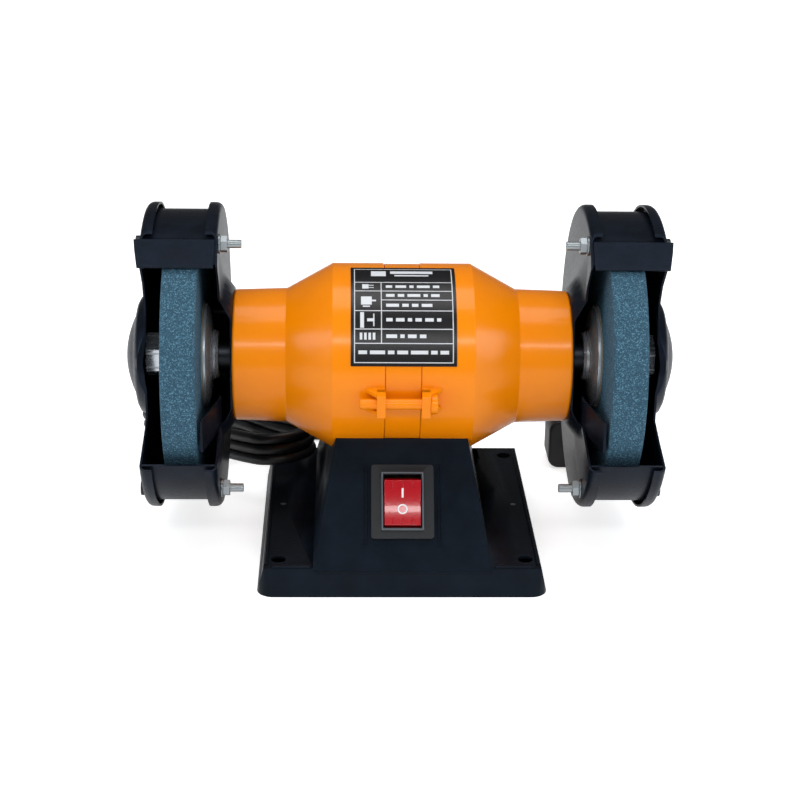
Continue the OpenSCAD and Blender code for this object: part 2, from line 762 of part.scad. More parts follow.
module switch_body() {
    color([0.12, 0.13, 0.14])
    on_front() difference() {
        union() {
            linear_extrude(bezel_t) rounded_rect(bezel_w, bezel_h, 1.6);
            linear_extrude(bezel_t + 0.9) rounded_rect(well_w + 3, well_h + 3.4, 1.2);
            translate([0, 0, -19]) linear_extrude(19) square([switch_box_w, switch_box_h], center = true);
        }
        translate([0, 0, -12]) linear_extrude(20) square([well_w, well_h], center = true);
        translate([-well_w / 2 - 2, 0, pivot_z]) rotate([0, 90, 0])
            cylinder(r = pivot_r + running_fit, h = well_w + 4, $fn = small_fn);
    }
}

// The rocker is drawn with its lower end pressed in. It turns on two stub pins.
module switch_rocker() {
    half = rocker_h / 2;
    lean = rocker_swing / 2;
    color([0.8, 0.1, 0.14])
    on_front() translate([0, 0, pivot_z]) {
        rotate([lean, 0, 0])
            translate([-rocker_w / 2, 0, 0]) rotate([90, 0, 90]) linear_extrude(rocker_w)
                polygon([
                    [-half, 3.2], [-half + 1.2, 7.2], [-half + 3, 7], [0, 5.6],
                    [half - 3, 7], [half - 1.2, 7.2], [half, 3.2], [half - 3, 0.4], [3, -3.6],
                    [-3, -3.6], [-half + 3, 0.4]
                ]);
        translate([-rocker_w / 2 - 1.6, 0, 0]) rotate([0, 90, 0])
            cylinder(r = pivot_r, h = rocker_w + 3.2, $fn = small_fn);
    }
}

module switch_terminals() {
    color([0.8, 0.66, 0.3])
    on_front() for (x = [-6, 6], y = [-7, 7])
        translate([x - 2.4, y - 0.4, -27]) cube([4.8, 0.8, 8]);
}

// ---- Wiring in the pedestal ----

module capacitor() {
    color([0.86, 0.87, 0.88])
    translate([-cap_len / 2, cap_y, cap_z]) rotate([0, 90, 0]) {
        cylinder(d = cap_d, h = cap_len);
        translate([0, 0, cap_len]) cylinder(d = 10, h = 5, $fn = small_fn);
    }
}

module capacitor_strap() {
    color([0.6, 0.62, 0.64])
    difference() {
        union() {
            translate([-5, cap_y, cap_z]) rotate([0, 90, 0]) cylinder(d = cap_d + 2, h = 10);
            translate([-5, cap_y - cap_d / 2 - 7, bottom_z + bottom_t]) cube([10, cap_d + 14, 1]);
        }
        translate([-6, cap_y, cap_z]) rotate([0, 90, 0]) cylinder(d = cap_d, h = 12);
        translate([-6, cap_y - cap_d, bottom_z + bottom_t - 5]) cube([12, 2 * cap_d, 5]);
    }
}

module terminal_block() {
    color([0.92, 0.92, 0.88])
    translate([-22, 42, bottom_z + bottom_t]) {
        cube([36, 16, 10]);
        for (i = [0:2]) translate([6 + 12 * i, 8, 10]) cylinder(d = 6, h = 3, $fn = small_fn);
    }
}

// Two insulated leads run up through the saddle and the bells' floor to the windings.
module motor_leads() {
    color([0.2, 0.35, 0.7])
    for (x = [-1, 1])
        translate([x * lead_x, lead_y, 29]) cylinder(d = lead_d, h = axis_z - 61.2, $fn = small_fn);
}

// ---- Cord ----

// The strain relief's collar fits the tower's rear wall, and its sleeve tapers along the cord.
module on_gland() {
    translate([0, gland_y - 5, gland_z]) rotate([-90 - gland_droop, 0, 0]) children();
}

module cord_gland() {
    color([0.08, 0.08, 0.09])
    on_gland() {
        cylinder(d = gland_d, h = 8, $fn = small_fn);
        translate([0, 0, 7]) cylinder(d1 = 13, d2 = 12, h = 3, $fn = small_fn);
        translate([0, 0, 9]) cylinder(d1 = 10.4, d2 = 7.4, h = gland_len, $fn = small_fn);
    }
}

function unit(v) = v / norm(v);

// Rings of a tube that follows a list of points, level with the bench.
function tube_ring(p, t, r, sides) =
    let (side = unit(cross(t, [0, 0, 1])), up = cross(side, t))
    [for (k = [0:sides - 1]) p + r * (cos(360 * k / sides) * side + sin(360 * k / sides) * up)];

function tangent(path, i) =
    unit(path[min(i + 1, len(path) - 1)] - path[max(i - 1, 0)]);

module tube(path, d, sides = 10) {
    n = len(path);
    rings = [for (i = [0:n - 1]) each tube_ring(path[i], tangent(path, i), d / 2, sides)];
    walls = [for (i = [0:n - 2], k = [0:sides - 1])
        [i * sides + k, i * sides + (k + 1) % sides, (i + 1) * sides + (k + 1) % sides, (i + 1) * sides + k]];
    ends = [[for (k = [sides - 1:-1:0]) k], [for (k = [0:sides - 1]) (n - 1) * sides + k]];
    polyhedron(rings, concat(walls, ends));
}

module cord_lead() {
    color([0.07, 0.07, 0.08]) difference() {
        union() {
            tube(lead_to_hank, cord_d);
            tube(lead_to_plug, cord_d);
        }
        hank_outline(0.05);
        on_gland() cylinder(d = 9, h = 9.05 + gland_len, $fn = small_fn);
        translate(plug_at) cube([plug_w, 2 * (plug_len - 14.95), 2 * plug_h], center = true);
    }
}

module on_hank() {
    translate(hank_at) rotate([0, 0, hank_turn]) rotate([0, hank_tilt, 0]) children();
}

module hank_outline(gap) {
    on_hank() translate([0, 0, -hank_h / 2 - gap]) linear_extrude(hank_h + 2 * gap) {
        square([hank_run, hank_w + 2 * gap], center = true);
        for (x = [-1, 1]) translate([x * hank_run / 2, 0]) circle(d = hank_w + 2 * gap, $fn = small_fn);
    }
}

module cord_hank() {
    color([0.07, 0.07, 0.08]) hank_outline(0);
}

module cord_tie() {
    color([0.05, 0.05, 0.05])
    on_hank() difference() {
        cube([5, hank_w + 1.6, hank_h + 1.6], center = true);
        cube([6, hank_w, hank_h], center = true);
    }
}

module cord_plug() {
    color([0.06, 0.06, 0.07])
    translate(plug_at) {
        translate([0, plug_len / 2 - 12, plug_h / 2]) rotate([90, 0, 0]) linear_extrude(plug_len - 12)
            rounded_rect(plug_w, plug_h, 6);
        translate([0, plug_len / 2 - 12, plug_h / 2]) rotate([-90, 0, 0])
            cylinder(d1 = 22, d2 = 11, h = 14, $fn = small_fn);
    }
}

module plug_pins() {
    color([0.82, 0.8, 0.7])
    for (x = [-9.5, 9.5])
        translate(plug_at + [x, plug_len / 2 - 12 - (plug_len - 12), plug_h / 2]) rotate([90, 0, 0])
            cylinder(d = 4.8, h = 19, $fn = small_fn);
}

base_pedestal();
base_bottom_plate();
bottom_plate_screws();
saddle_bolts();
end_bell_left();
end_bell_right();
stator_core();
stator_windings();
housing_bolts();
nameplate();
bearing_outer_rings();
bearing_inner_rings();
bearing_balls();
wave_washer();
rotor_core();
rotor_end_rings();
shaft();
inner_flanges();
grinding_wheel_left();
grinding_wheel_right();
wheel_blotters();
outer_flanges();
shaft_nut_left();
shaft_nut_right();
inner_cover_left();
inner_cover_right();
guard_drum_left();
guard_drum_right();
outer_cover_left();
outer_cover_right();
guard_bolts();
guard_nuts();
guard_washers();
spark_arrester_left();
spark_arrester_right();
arrester_screws_left();
arrester_screws_right();
switch_body();
switch_rocker();
switch_terminals();
capacitor();
capacitor_strap();
terminal_block();
motor_leads();
cord_gland();
cord_lead();
cord_hank();
cord_tie();
cord_plug();
plug_pins();
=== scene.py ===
from math import atan2, cos, hypot, pi, radians, sin

import bmesh
import bpy
from mathutils import Matrix, Vector


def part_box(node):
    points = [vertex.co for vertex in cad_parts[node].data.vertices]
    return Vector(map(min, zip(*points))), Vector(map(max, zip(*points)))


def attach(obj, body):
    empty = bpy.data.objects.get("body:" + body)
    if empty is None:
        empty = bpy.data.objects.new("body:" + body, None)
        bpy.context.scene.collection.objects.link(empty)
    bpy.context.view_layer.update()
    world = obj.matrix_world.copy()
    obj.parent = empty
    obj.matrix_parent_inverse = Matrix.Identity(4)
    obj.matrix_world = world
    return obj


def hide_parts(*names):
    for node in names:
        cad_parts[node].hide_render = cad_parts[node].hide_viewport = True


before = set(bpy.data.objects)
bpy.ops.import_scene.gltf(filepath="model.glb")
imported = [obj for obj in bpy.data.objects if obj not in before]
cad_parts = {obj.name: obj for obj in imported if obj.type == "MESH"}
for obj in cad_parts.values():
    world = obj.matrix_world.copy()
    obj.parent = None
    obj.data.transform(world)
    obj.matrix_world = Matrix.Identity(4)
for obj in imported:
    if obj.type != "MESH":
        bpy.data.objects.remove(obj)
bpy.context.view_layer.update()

MM = 0.001


def span(node):
    """A CAD node's lowest and highest corners in millimetres."""
    low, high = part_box(node)
    return [v / MM for v in low], [v / MM for v in high]


# ---- Sizes in millimetres, taken from the frame ----

WHEEL_LOW, WHEEL_HIGH = span("grinding_wheel_right")
AXIS_Z = (WHEEL_LOW[2] + WHEEL_HIGH[2]) / 2
MOTOR_R = 44.5
CORD_D = 5.6
BAND_HALF = 8.2


# ---- Angles in degrees at which an edge counts as sharp ----

SHARP_PRESSED = 28
SHARP_CAST = 22


# ---- Camera ----

CAMERA_AT = Vector((-29.182, -843.344, 395.532))
CAMERA_YAW, CAMERA_PITCH, CAMERA_ROLL = radians(1.979), radians(21.115), radians(0.92)
LENS_MM = 83.25

def aim_camera():
    """A long lens a little above the bench, turned two degrees to the right."""
    yaw, pitch, roll = CAMERA_YAW, CAMERA_PITCH, CAMERA_ROLL
    forward = Vector((sin(yaw) * cos(pitch), cos(yaw) * cos(pitch), -sin(pitch)))
    level = Vector((cos(yaw), -sin(yaw), 0))
    above = level.cross(forward)
    right = cos(roll) * level + sin(roll) * above
    up = cos(roll) * above - sin(roll) * level
    data = bpy.data.cameras.new("bench_camera")
    data.sensor_width = 36
    data.lens = LENS_MM
    data.clip_end = 20
    camera = bpy.data.objects.new("bench_camera", data)
    bpy.context.scene.collection.objects.link(camera)
    turn = Matrix((right, up, -forward)).transposed().to_4x4()
    camera.matrix_world = Matrix.Translation(CAMERA_AT * MM) @ turn
    bpy.context.scene.camera = camera


aim_camera()


# ---- Materials ----

def linear(hex_colour):
    """An sRGB hex colour as linear red, green, blue and alpha."""
    out = []
    for i in (0, 2, 4):
        v = int(hex_colour[i:i + 2], 16) / 255
        out.append(v / 12.92 if v <= 0.04045 else ((v + 0.055) / 1.055) ** 2.4)
    return (*out, 1.0)


def add(tree, kind, inputs=(), **settings):
    """Adds a node. Inputs are (socket, value or output socket) pairs."""
    node = tree.nodes.new(kind)
    for name, value in settings.items():
        setattr(node, name, value)
    for socket, value in inputs:
        if isinstance(value, bpy.types.NodeSocket):
            tree.links.new(value, node.inputs[socket])
        else:
            node.inputs[socket].default_value = value
    return node


def start(name, colour, roughness, metallic=0.0, **sockets):
    """A new material, its node tree, its shader and the Object coordinates."""
    material = bpy.data.materials.new(name)
    material.use_nodes = True
    tree = material.node_tree
    shader = tree.nodes["Principled BSDF"]
    shader.inputs["Base Color"].default_value = linear(colour)
    shader.inputs["Roughness"].default_value = roughness
    shader.inputs["Metallic"].default_value = metallic
    for socket, value in sockets.items():
        shader.inputs[socket.replace("_", " ")].default_value = value
    where = add(tree, "ShaderNodeTexCoord").outputs["Object"]
    return material, tree, shader, where


def per_mm(size):
    """A texture scale for features of that size in millimetres."""
    return 1 / (size * MM)


def mottle(tree, shader, where, low, high, size, detail=3.0):
    """The base colour drifts between two close colours over patches of that size."""
    noise = add(tree, "ShaderNodeTexNoise", [("Vector", where), ("Scale", per_mm(size)), ("Detail", detail)])
    ramp = add(tree, "ShaderNodeValToRGB", [("Fac", noise.outputs["Fac"])])
    ramp.color_ramp.elements[0].position = 0.3
    ramp.color_ramp.elements[0].color = linear(low)
    ramp.color_ramp.elements[1].position = 0.7
    ramp.color_ramp.elements[1].color = linear(high)
    tree.links.new(ramp.outputs["Color"], shader.inputs["Base Color"])
    return noise


def vary_roughness(tree, shader, fac, low, high):
    """The roughness drifts between two values with a pattern."""
    span_node = add(tree, "ShaderNodeMapRange", [("Value", fac), ("To Min", low), ("To Max", high)])
    tree.links.new(span_node.outputs["Result"], shader.inputs["Roughness"])


def bumped(tree, shader, height, depth_mm, strength=1.0):
    """Raises the surface by a pattern's height, over edges that the shader rounds off."""
    edge = add(tree, "ShaderNodeBevel", [("Radius", 0.35 * MM)], samples=4)
    bump = add(tree, "ShaderNodeBump", [("Height", height), ("Distance", depth_mm * MM),
                                        ("Strength", strength), ("Normal", edge.outputs["Normal"])])
    tree.links.new(bump.outputs["Normal"], shader.inputs["Normal"])


def orange_enamel():
    """Stoved enamel on die-cast aluminium: deep gloss with a faint orange peel."""
    material, tree, shader, where = start("orange_enamel", "f68a00", 0.3, Coat_Weight=0.15,
                                          Coat_Roughness=0.12, Specular_IOR_Level=0.25)
    mottle(tree, shader, where, "f48700", "f98c00", 18)
    peel = add(tree, "ShaderNodeTexNoise", [("Vector", where), ("Scale", per_mm(2.2)), ("Detail", 2.0)])
    bumped(tree, shader, peel.outputs["Fac"], 0.05)
    vary_roughness(tree, shader, peel.outputs["Fac"], 0.17, 0.3)
    return material


def guard_enamel():
    """Black enamel on pressed steel: semi-gloss, with a fine peel; the blue-grey tint of its reflections is a
    painted cool sheen.
    """
    # The pale blue specular tint is a painted cool sheen: it colours the enamel's reflections as a cool light
    # would.
    material, tree, shader, where = start("guard_enamel", "0b1018", 0.3, Coat_Weight=0.06,
                                          Coat_Roughness=0.2, Specular_IOR_Level=0.16,
                                          Specular_Tint=linear("c4dcff"))
    mottle(tree, shader, where, "0a0e15", "111722", 9)
    peel = add(tree, "ShaderNodeTexNoise", [("Vector", where), ("Scale", per_mm(1.6)), ("Detail", 2.0)])
    bumped(tree, shader, peel.outputs["Fac"], 0.06)
    vary_roughness(tree, shader, peel.outputs["Fac"], 0.27, 0.42)
    return material


def slate_enamel():
    """Stoved enamel on pressed steel: near-black slate, glossy, with a peel of 1.8 mm; the pale blue tint of
    its reflections is a painted cool sheen.
    """
    # The pale blue specular tint is a painted cool sheen on the enamel's reflections.
    material, tree, shader, where = start("slate_enamel", "0a0f15", 0.3, Coat_Weight=0.05,
                                          Coat_Roughness=0.16, Specular_IOR_Level=0.12,
                                          Specular_Tint=linear("c4dcff"))
    mottle(tree, shader, where, "0a0f15", "10171f", 14)
    peel = add(tree, "ShaderNodeTexNoise", [("Vector", where), ("Scale", per_mm(1.8)), ("Detail", 2.0)])
    bumped(tree, shader, peel.outputs["Fac"], 0.05)
    vary_roughness(tree, shader, peel.outputs["Fac"], 0.28, 0.42)
    return material


def vitrified_abrasive():
    """Aluminium oxide grit in a fired bond: dull, rough and speckled.

    Grains of 0.25 mm are too fine to show, so they are drawn 0.42 mm across.
    """
    material, tree, shader, where = start("vitrified_abrasive", "4a6170", 0.95, Specular_IOR_Level=0.3)
    grit = add(tree, "ShaderNodeTexVoronoi", [("Vector", where), ("Scale", per_mm(0.42))])
    speckle = add(tree, "ShaderNodeSeparateColor", [("Color", grit.outputs["Color"])])
    ramp = add(tree, "ShaderNodeValToRGB", [("Fac", speckle.outputs["Red"])])
    ramp.color_ramp.elements[0].color = linear("2e4a5a")
    ramp.color_ramp.elements[1].color = linear("6490a6")
    middle = ramp.color_ramp.elements.new(0.72)
    middle.color = linear("395c70")
    tree.links.new(ramp.outputs["Color"], shader.inputs["Base Color"])
    bumped(tree, shader, grit.outputs["Distance"], 0.35, 0.8)
    return material


def metal(name, colour, low, high, size):
    """A plated or rolled metal whose roughness drifts over patches of that size."""
    material, tree, shader, where = start(name, colour, low, metallic=1.0)
    patch = add(tree, "ShaderNodeTexNoise", [("Vector", where), ("Scale", per_mm(size)), ("Detail", 4.0)])
    vary_roughness(tree, shader, patch.outputs["Fac"], low, high)
    bumped(tree, shader, patch.outputs["Fac"], 0.02)
    return material


ZINC_GREY = "a9b0b3"
HEAD_LENGTH = 4.2


def enamelled_head_bolts():
    """Zinc-plated bolts with heads enamelled black: bright threads inboard, dark heads outboard."""
    material, tree, shader, where = start("enamelled_head_bolts", ZINC_GREY, 0.4, metallic=1.0)
    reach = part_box("guard_bolts")[1][0] - HEAD_LENGTH * MM
    along = add(tree, "ShaderNodeSeparateXYZ", [("Vector", where)])
    outboard = add(tree, "ShaderNodeMath", [(0, along.outputs["X"])], operation="ABSOLUTE")
    head = add(tree, "ShaderNodeMath", [(0, outboard.outputs["Value"]), (1, reach)], operation="GREATER_THAN")
    paint = add(tree, "ShaderNodeMix", [("Factor", head.outputs["Value"])], data_type="RGBA")
    paint.inputs[6].default_value = linear(ZINC_GREY)
    paint.inputs[7].default_value = linear("0d1219")
    tree.links.new(paint.outputs[2], shader.inputs["Base Color"])
    plated = add(tree, "ShaderNodeMath", [(0, 1.0), (1, head.outputs["Value"])], operation="SUBTRACT")
    tree.links.new(plated.outputs["Value"], shader.inputs["Metallic"])
    # No relief: this only rounds the threads' and heads' edges for the eye.
    bumped(tree, shader, outboard.outputs["Value"], 0.0)
    return material


def turned_aluminium():
    """Aluminium faced on a lathe: bright, with rings 0.9 mm apart about the shaft."""
    material, tree, shader, where = start("turned_aluminium", "dde3ea", 0.3, metallic=0.75)
    centred = add(tree, "ShaderNodeMapping", [("Vector", where), ("Location", (0, 0, -AXIS_Z * MM)),
                                              ("Scale", (0, 1, 1))])
    radius = add(tree, "ShaderNodeVectorMath", [(0, centred.outputs["Vector"])], operation="LENGTH")
    turns = add(tree, "ShaderNodeMath", [(0, radius.outputs["Value"]), (1, 2 * pi / (0.9 * MM))],
                operation="MULTIPLY")
    groove = add(tree, "ShaderNodeMath", [(0, turns.outputs["Value"])], operation="SINE")
    bumped(tree, shader, groove.outputs["Value"], 0.02)
    vary_roughness(tree, shader, groove.outputs["Value"], 0.16, 0.34)
    return material


def moulded(name, colour, roughness, grain, depth, **sockets):
    """A moulded plastic or rubber with a fine sparked grain."""
    material, tree, shader, where = start(name, colour, roughness, **sockets)
    spark = add(tree, "ShaderNodeTexNoise", [("Vector", where), ("Scale", per_mm(grain)), ("Detail", 2.0)])
    bumped(tree, shader, spark.outputs["Fac"], depth)
    vary_roughness(tree, shader, spark.outputs["Fac"], roughness * 0.85, roughness * 1.2)
    return material


def copper_winding():
    """Enamelled copper wire, wound side by side 0.8 mm apart."""
    material, tree, shader, where = start("copper_winding", "9a4a1e", 0.3, metallic=0.9)
    wire = add(tree, "ShaderNodeTexWave", [("Vector", where), ("Scale", per_mm(0.8) / (2 * pi)),
                                           ("Distortion", 1.5)], bands_direction="X")
    bumped(tree, shader, wire.outputs["Fac"], 0.2)
    return material


def blotter_card():
    """Pressed card discs between flange and wheel: matt, with soft fibres 2 mm long."""
    material, tree, shader, where = start("blotter_card", "8a8578", 0.9)
    fibre = mottle(tree, shader, where, "7d786a", "969082", 2)
    bumped(tree, shader, fibre.outputs["Fac"], 0.08)
    return material


def bench_floor():
    """A plain pale sweep for the bench, lit like a light table where it is looked at."""
    material, tree, shader, where = start("pale_floor", "f4f4f4", 0.9, Emission_Color=(1, 1, 1, 1),
                                          Specular_IOR_Level=0.1)
    mottle(tree, shader, where, "f3f3f3", "f6f6f6", 400)
    seen = add(tree, "ShaderNodeLightPath").outputs["Is Camera Ray"]
    glow = add(tree, "ShaderNodeMapRange", [("Value", seen), ("To Min", 0.1), ("To Max", 0.6)])
    tree.links.new(glow.outputs["Result"], shader.inputs["Emission Strength"])
    return material


ORANGE = orange_enamel()
GUARD = guard_enamel()
SLATE = slate_enamel()
ABRASIVE = vitrified_abrasive()
TURNED = turned_aluminium()
ZINC = metal("zinc_plate", "a3aaae", 0.3, 0.5, 4)
BOLTS = enamelled_head_bolts()
BARE_STEEL = metal("ground_steel", "b4b8bd", 0.2, 0.36, 5)
OILED_STEEL = metal("oiled_steel", "3a3d42", 0.3, 0.45, 4)
LAMINATION = metal("lamination_steel", "6d7277", 0.4, 0.6, 1)
ROTOR_CAST = metal("cast_aluminium", "b9bcc0", 0.45, 0.65, 1.5)
BRASS = metal("contact_brass", "c9a45a", 0.25, 0.4, 2)
COPPER = copper_winding()
CARD = blotter_card()
ABS = moulded("black_abs", "14181d", 0.36, 0.7, 0.03)
FRAME_GREY = moulded("grey_abs", "565c64", 0.4, 0.8, 0.02)
RED = moulded("red_polycarbonate", "b80a1a", 0.18, 1.5, 0.01, Coat_Weight=0.5, Transmission_Weight=0.1)
NYLON = moulded("white_nylon", "e4e2d8", 0.4, 1.2, 0.03)
LEAD_BLUE = moulded("lead_insulation", "2f55a8", 0.4, 1.2, 0.02)
CASE = moulded("capacitor_case", "d9dadc", 0.35, 1.5, 0.02)
FOIL = moulded("printed_foil", "0c0c10", 0.34, 1.2, 0.01)
INK = moulded("silver_print", "d8dade", 0.4, 1.0, 0.01)
WHITE_INK = moulded("white_print", "f2f2f2", 0.45, 1.0, 0.01)
SHEATH = moulded("cord_sheath", "17181a", 0.42, 1.1, 0.04)


# ---- Making pieces ----

def piece(name, mesh, material, body, slot, *replaced):
    """A mesh in the frame's own place becomes a piece that rides on a body."""
    obj = bpy.data.objects.new(name, mesh)
    bpy.context.scene.collection.objects.link(obj)
    mesh.materials.clear()
    mesh.materials.append(material)
    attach(obj, body)
    if replaced:
        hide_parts(*replaced)
    return obj


def soften(obj, width_mm, segments=2):
    """Rounds a piece's sharp edges."""
    bevel = obj.modifiers.new("rounded_edges", "BEVEL")
    bevel.width = width_mm * MM
    bevel.segments = segments
    bevel.limit_method = "ANGLE"
    bevel.angle_limit = radians(38)
    bevel.harden_normals = True
    bevel.use_clamp_overlap = True


def finished_copy(node, material, body, slot, edge_mm=0.0):
    """A CAD node's shape with its triangles joined, its curves smooth and its edges rounded."""
    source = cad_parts[node]
    form = bmesh.new()
    form.from_mesh(source.data)
    bmesh.ops.transform(form, matrix=source.matrix_world, verts=form.verts)
    bmesh.ops.remove_doubles(form, verts=form.verts, dist=0.002 * MM)
    bmesh.ops.dissolve_limit(form, angle_limit=radians(0.4), verts=form.verts, edges=form.edges)
    mesh = bpy.data.meshes.new(node + "_finish")
    form.to_mesh(mesh)
    form.free()
    mesh.shade_smooth()
    mesh.set_sharp_from_angle(angle=radians(SHARP_PRESSED))
    obj = piece(node + "_finish", mesh, material, body, slot, node)
    if edge_mm:
        soften(obj, edge_mm)
    return obj


def bar(form, place, x, y, z, w, d, h):
    """A bar centred at x, y, z in a frame's own millimetres."""
    where = Matrix.Scale(MM, 4) @ place @ Matrix.Translation((x, y, z)) @ Matrix.Diagonal((w, d, h, 1))
    bmesh.ops.create_cube(form, size=1, matrix=where)


# ---- Mains cord ----

HANK_RUN = 15 * CORD_D
HANK_FOLD_R = 3 * CORD_D + 0.2
HANK_AT = (-90.3, 85.3, 19.3)
HANK_TURN = 133
HANK_TILT = 8.82
BENCH_Z = CORD_D / 2 + 0.2


def bend(cx, cy, r, start_angle, end_angle, z0, z1, steps):
    """A level bend of the cord about a centre, whose height goes from z0 to z1."""
    points = []
    for i in range(steps + 1):
        t = i / steps
        a = radians(start_angle + (end_angle - start_angle) * t)
        points.append((cx + r * cos(a), cy + r * sin(a), z0 + (z1 - z0) * t))
    return points


LEAD_TO_HANK = bend(-24, 94.4, 24, 0, 90, 16.7, BENCH_Z, 10)
LEAD_TO_HANK += [(-45, 118.4, BENCH_Z), (-65, 118.4, 4)]
LEAD_TO_HANK += bend(-85, 148.4, 30, 270, 227, 5.8, 7.4, 5)
LEAD_TO_PLUG = bend(-71.5, 128.2, 26, 223, 90, 21.4, 4, 12)
LEAD_TO_PLUG += [(-50, 154.2, BENCH_Z), (-20, 154.2, BENCH_Z), (10, 154.2, BENCH_Z), (38, 154.2, BENCH_Z)]
LEAD_TO_PLUG += bend(63.5, 114.2, 40, 90, 0, BENCH_Z + 0.6, 13.5, 12)


def hank_place():
    """The hank's own frame: its +x runs down from the foot to the bench."""
    return (Matrix.Translation(HANK_AT) @ Matrix.Rotation(radians(HANK_TURN), 4, "Z")
            @ Matrix.Rotation(radians(HANK_TILT), 4, "Y"))


def hank_loops():
    """Three loops, each a layer above the last, that climb along their last straight."""
    half, r, place = HANK_RUN / 2, HANK_FOLD_R, hank_place()
    points = []
    for layer in range(3):
        z = (layer - 1) * CORD_D
        for i in range(1, 13):
            a = radians(-90 + 180 * i / 12)
            points.append((half + r * cos(a), r * sin(a), z))
        points += [(half * k, r, z) for k in (0.5, 0, -0.5)]
        for i in range(13):
            a = radians(90 + 180 * i / 12)
            points.append((-half + r * cos(a), r * sin(a), z))
        if layer < 2:
            climb = ((-0.5, 0.1), (0, 0.5), (0.5, 0.9), (1, 1))
            points += [(half * k, -r, z + CORD_D * up) for k, up in climb]
        else:
            points += [(-half * 0.5, -r, z), (-half * 0.05, -r, z)]
    return [tuple(place @ Vector(p)) for p in points]


def mains_cord():
    """One cord from the strain relief through the hank to the plug, with its length in mm."""
    route = LEAD_TO_HANK[:-1] + hank_loops() + LEAD_TO_PLUG
    data = bpy.data.curves.new("mains_cord", "CURVE")
    data.dimensions = "3D"
    data.resolution_u = 5
    data.bevel_depth = CORD_D / 2 * MM
    data.bevel_resolution = 4
    data.use_fill_caps = True
    spline = data.splines.new("BEZIER")
    spline.bezier_points.add(len(route) - 1)
    for spot, p in zip(spline.bezier_points, route):
        spot.co = Vector(p) * MM
        spot.handle_left_type = "AUTO"
        spot.handle_right_type = "AUTO"
    data.materials.append(SHEATH)
    cord = bpy.data.objects.new("mains_cord", data)
    bpy.context.scene.collection.objects.link(cord)
    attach(cord, "machine")
    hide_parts("cord_lead", "cord_hank")
    length = sum(hypot(*(b - a for a, b in zip(p, q))) for p, q in zip(route, route[1:]))
    return cord, route[0], length


CORD, CORD_EXIT, CORD_LENGTH = mains_cord()
PLUG = finished_copy("cord_plug", SHEATH, "machine", "cord_sheath", 1.6)
PINS = finished_copy("plug_pins", BRASS, "machine", "contact_brass", 0.5)
TIE = finished_copy("cord_tie", ABS, "machine", "switch_plastic", 0.4)
GLAND = finished_copy("cord_gland", SHEATH, "machine", "cord_sheath", 0.4)


# ---- CAD shapes with their finishes ----

FINISHES = [
    (("base_pedestal",), SLATE, "slate_paint", 0.9),
    (("base_bottom_plate", "capacitor_strap"), ZINC, "zinc_sheet", 0),
    (("bottom_plate_screws", "saddle_bolts", "guard_nuts", "guard_washers"), ZINC, "zinc_steel", 0.25),
    (("guard_bolts",), BOLTS, "zinc_steel", 0.25),
    (("stator_core",), ORANGE, "orange_paint", 0),
    (("housing_bolts",), ORANGE, "orange_paint", 0.9),
    (("stator_windings",), COPPER, "winding_wire", 0),
    (("nameplate",), FOIL, "label_foil", 0),
    (("bearing_outer_rings", "wave_washer"), BARE_STEEL, "bearing_steel", 0),
    (("inner_cover_left", "inner_cover_right", "outer_cover_left", "outer_cover_right",
      "guard_drum_left", "guard_drum_right"), GUARD, "guard_paint", 0),
    (("switch_body",), ABS, "switch_plastic", 0.4),
    (("switch_terminals",), BRASS, "contact_brass", 0),
    (("capacitor",), CASE, "capacitor_case", 0.6),
    (("terminal_block",), NYLON, "block_plastic", 0.4),
    (("motor_leads",), LEAD_BLUE, "block_plastic", 0),
]
ROTOR_FINISHES = [
    (("grinding_wheel_left", "grinding_wheel_right"), ABRASIVE, "abrasive", 0),
    (("inner_flanges", "outer_flanges", "shaft_nut_left", "shaft_nut_right"), TURNED, "turned_flange", 0.25),
    (("wheel_blotters",), CARD, "blotter_card", 0),
    (("shaft",), OILED_STEEL, "bearing_steel", 0),
    (("bearing_inner_rings", "bearing_balls"), BARE_STEEL, "bearing_steel", 0),
    (("rotor_core",), LAMINATION, "bearing_steel", 0),
    (("rotor_end_rings",), ROTOR_CAST, "rotor_aluminium", 0),
]
for body, finishes in (("machine", FINISHES), ("rotor", ROTOR_FINISHES)):
    for nodes, material, slot, edge in finishes:
        for node in nodes:
            finished_copy(node, material, body, slot, edge)
for side in ("left", "right"):
    finished_copy("spark_arrester_" + side, GUARD, "arrester_" + side, "guard_paint", 0.2)
    finished_copy("arrester_screws_" + side, ZINC, "arrester_" + side, "zinc_steel", 0)
finished_copy("switch_rocker", RED, "rocker", "red_rocker", 0.5)


# ---- End bells ----

BOLT_R = MOTOR_R + 4.8
BOLT_ANGLE = -7.6
LUG_W, LUG_H = 4.2, 11.5
LUG_DEPTH = 7.6
WEB_T = 2.2
WEB_RUN = 5.5
SEAM = 0.15
BELL_BORE_R = 41.5
CONE_START_X, CONE_END_X, CONE_END_R = 33, 55, 32.3
NECK_X, NECK_R, NECK_WALL = 80, 31.55, 3
SHAFT_HOLE_R = 7.4


